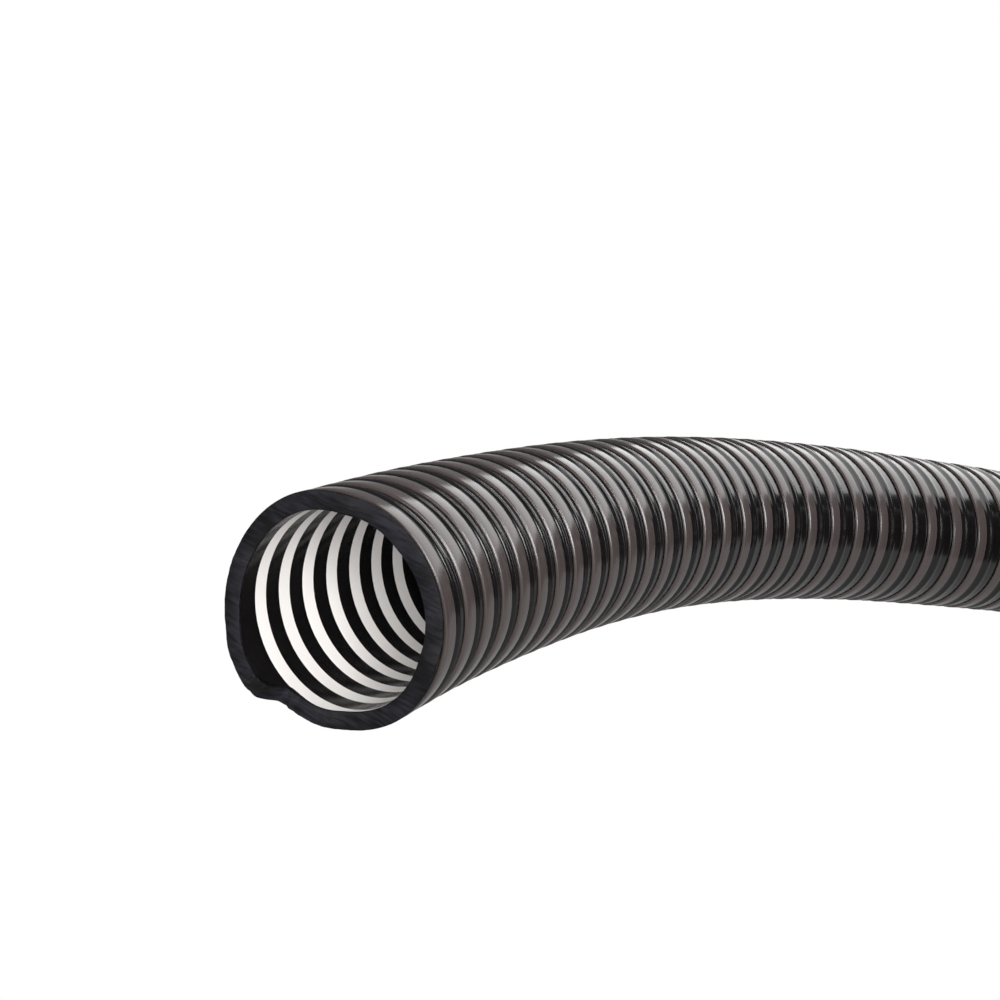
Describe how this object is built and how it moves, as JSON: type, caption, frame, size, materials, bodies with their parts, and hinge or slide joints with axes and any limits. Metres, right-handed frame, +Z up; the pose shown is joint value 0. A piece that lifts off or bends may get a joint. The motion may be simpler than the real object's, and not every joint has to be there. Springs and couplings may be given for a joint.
{
  "type": "pool vacuum hose",
  "caption": "Smooth-bore spiral-ribbed vacuum hose with a bare cut end, the rest wound into a tied coil with a swivel cuff on its far end.",
  "frame": {"origin": "on the ground under the centre of the box round the whole hose as it lies", "axes": "+Z up from the ground, +X the way the hose runs in from its cut end and the way the swivel cuff points"},
  "size_m": [0.54, 0.7001, 0.1519],
  "materials": {
    "hose_wall": "glossy black soft plastic",
    "hose_rib": "off-white rigid plastic",
    "tie_fabric": "black woven hook-and-loop webbing",
    "tie_plastic": "black moulded plastic",
    "cuff_plastic": "black satin moulded plastic",
    "washer_plastic": "natural low-friction plastic",
    "seal_rubber": "soft black rubber"
  },
  "bodies": {
    "hose": {"cut_end_wall": "hose_wall", "cut_end_rib": "hose_rib", "hose_run": "hose_wall", "hose_coil": "hose_wall", "hose_tail": "hose_wall", "far_end_wall": "hose_wall", "far_end_rib": "hose_rib", "tie_band_1": "tie_fabric", "tie_band_2": "tie_fabric", "tie_band_3": "tie_fabric", "tie_band_4": "tie_fabric", "tie_ring_1": "tie_plastic", "tie_ring_2": "tie_plastic", "tie_ring_3": "tie_plastic", "tie_ring_4": "tie_plastic", "cuff_sleeve": "cuff_plastic", "cuff_seal": "seal_rubber"},
    "swivel_cuff": {"cuff_shell": "cuff_plastic", "cuff_cap": "cuff_plastic", "cuff_washer": "washer_plastic"}
  },
  "joints": [
    {"name": "cuff_swivel", "type": "hinge", "parent": "hose", "child": "swivel_cuff", "pos_m": [0.05, 0.15, 0.1226], "axis": [1, 0, 0], "continuous": true}
  ]
}
